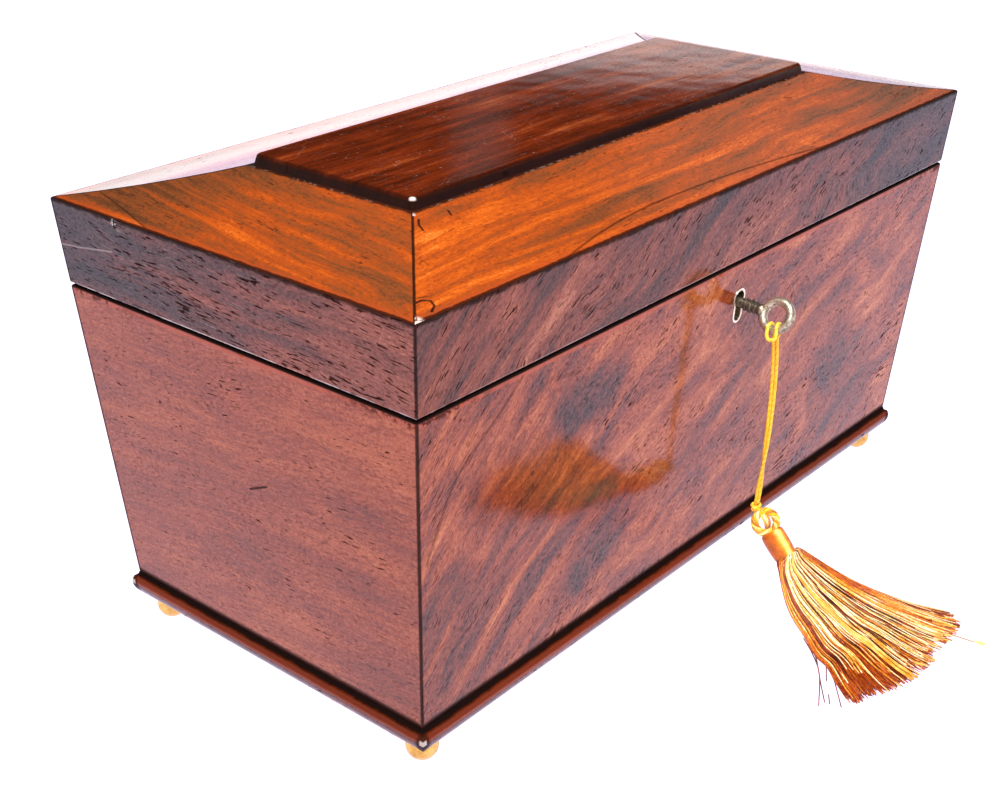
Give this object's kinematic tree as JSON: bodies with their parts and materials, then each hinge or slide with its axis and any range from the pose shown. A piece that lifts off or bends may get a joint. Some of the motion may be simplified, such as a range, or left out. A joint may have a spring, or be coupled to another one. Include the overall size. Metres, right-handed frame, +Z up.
{
  "type": "tea caddy",
  "caption": "Antique flared mahogany tea caddy on ball feet, with a hinged lid, lift-out inner lids, a glass bowl, and a lock whose key carries a silk tassel.",
  "frame": {"origin": "on the surface the caddy stands on, under the middle of its box (the cord and tassel left out; the key counts, so the case sits a little behind the origin)", "axes": "+Z up, +X along the length to the right as seen from the front, front with the keyhole towards -Y"},
  "size_m": [0.3092, 0.2394, 0.1674],
  "materials": {
    "case_mahogany": "french polished",
    "lid_side_mahogany": "french polished",
    "slope_mahogany": "french polished",
    "panel_mahogany": "gloss",
    "moulding_mahogany": "gloss",
    "foot_brass": "polished",
    "pine": "bare",
    "inner_mahogany": "satin",
    "lid_lining": "matt",
    "knob_bone": "satin",
    "lock_brass": "satin",
    "liner_brass": "polished",
    "key_steel": "worn",
    "silk_cord": "silk",
    "silk_tassel": "silk",
    "clear_glass": "polished"
  },
  "bodies": {
    "case": {"front_panel": "case_mahogany", "back_panel": "case_mahogany", "left_end_panel": "case_mahogany", "right_end_panel": "case_mahogany", "bottom_board": "pine", "front_base_moulding": "moulding_mahogany", "back_base_moulding": "moulding_mahogany", "left_base_moulding": "moulding_mahogany", "right_base_moulding": "moulding_mahogany", "front_left_foot": "foot_brass", "front_right_foot": "foot_brass", "back_left_foot": "foot_brass", "back_right_foot": "foot_brass", "left_partition": "inner_mahogany", "right_partition": "inner_mahogany", "left_well_ledges": "inner_mahogany", "right_well_ledges": "inner_mahogany", "bowl_board": "inner_mahogany", "left_hinge_lower_leaf": "lock_brass", "right_hinge_lower_leaf": "lock_brass", "left_hinge_pin": "lock_brass", "right_hinge_pin": "lock_brass", "lower_hinge_screws": "lock_brass", "keyhole_liner": "liner_brass", "lock_case": "lock_brass", "lock_plate": "lock_brass", "lock_screws": "lock_brass", "drill_pin": "lock_brass", "key_cord": "silk_cord", "tassel_knot": "silk_cord", "tassel_ring": "silk_cord", "tassel_head": "silk_tassel", "tassel_skirt": "silk_tassel"},
    "lid": {"lid_front_board": "lid_side_mahogany", "lid_back_board": "lid_side_mahogany", "lid_left_board": "lid_side_mahogany", "lid_right_board": "lid_side_mahogany", "front_slope": "slope_mahogany", "back_slope": "slope_mahogany", "left_slope": "slope_mahogany", "right_slope": "slope_mahogany", "raised_panel": "panel_mahogany", "lid_ceiling": "lid_lining", "left_hinge_upper_leaf": "lock_brass", "right_hinge_upper_leaf": "lock_brass", "upper_hinge_screws": "lock_brass", "link_plate": "lock_brass", "link_plate_screws": "lock_brass"},
    "key": {"key": "key_steel", "cord_hitch": "silk_cord"},
    "bolt": {"lock_bolt": "lock_brass"},
    "left_lift_lid": {"left_well_lid": "inner_mahogany", "left_well_knob": "knob_bone"},
    "right_lift_lid": {"right_well_lid": "inner_mahogany", "right_well_knob": "knob_bone"},
    "bowl": {"mixing_bowl": "clear_glass"}
  },
  "joints": [
    {"name": "lid_hinge", "type": "hinge", "parent": "case", "child": "lid", "pos_m": [0, 0.08525, 0.1264], "axis": [-1, 0, 0], "range_deg": [0, 100]},
    {"name": "key_turn", "type": "hinge", "parent": "case", "child": "key", "pos_m": [0.0073, -0.06606, 0.1108], "axis": [0, 0.9973, 0.0731], "range_deg": [-32, 58], "deforming": ["key_cord"]},
    {"name": "bolt_slide", "type": "slide", "parent": "case", "child": "bolt", "axis": [-1, 0, 0], "range_m": [-0.00167, 0.00303]},
    {"name": "left_lid_lift", "type": "slide", "parent": "case", "child": "left_lift_lid", "axis": [0, 0, 1], "range_m": [0, 0.019]},
    {"name": "right_lid_lift", "type": "slide", "parent": "case", "child": "right_lift_lid", "axis": [0, 0, 1], "range_m": [0, 0.019]},
    {"name": "bowl_lift", "type": "slide", "parent": "case", "child": "bowl", "axis": [0, 0, 1], "range_m": [0, 0.024]}
  ],
  "couplings": [
    {"joint": "key_turn", "follows": "bolt_slide", "rad_per_m": 334.45}
  ]
}
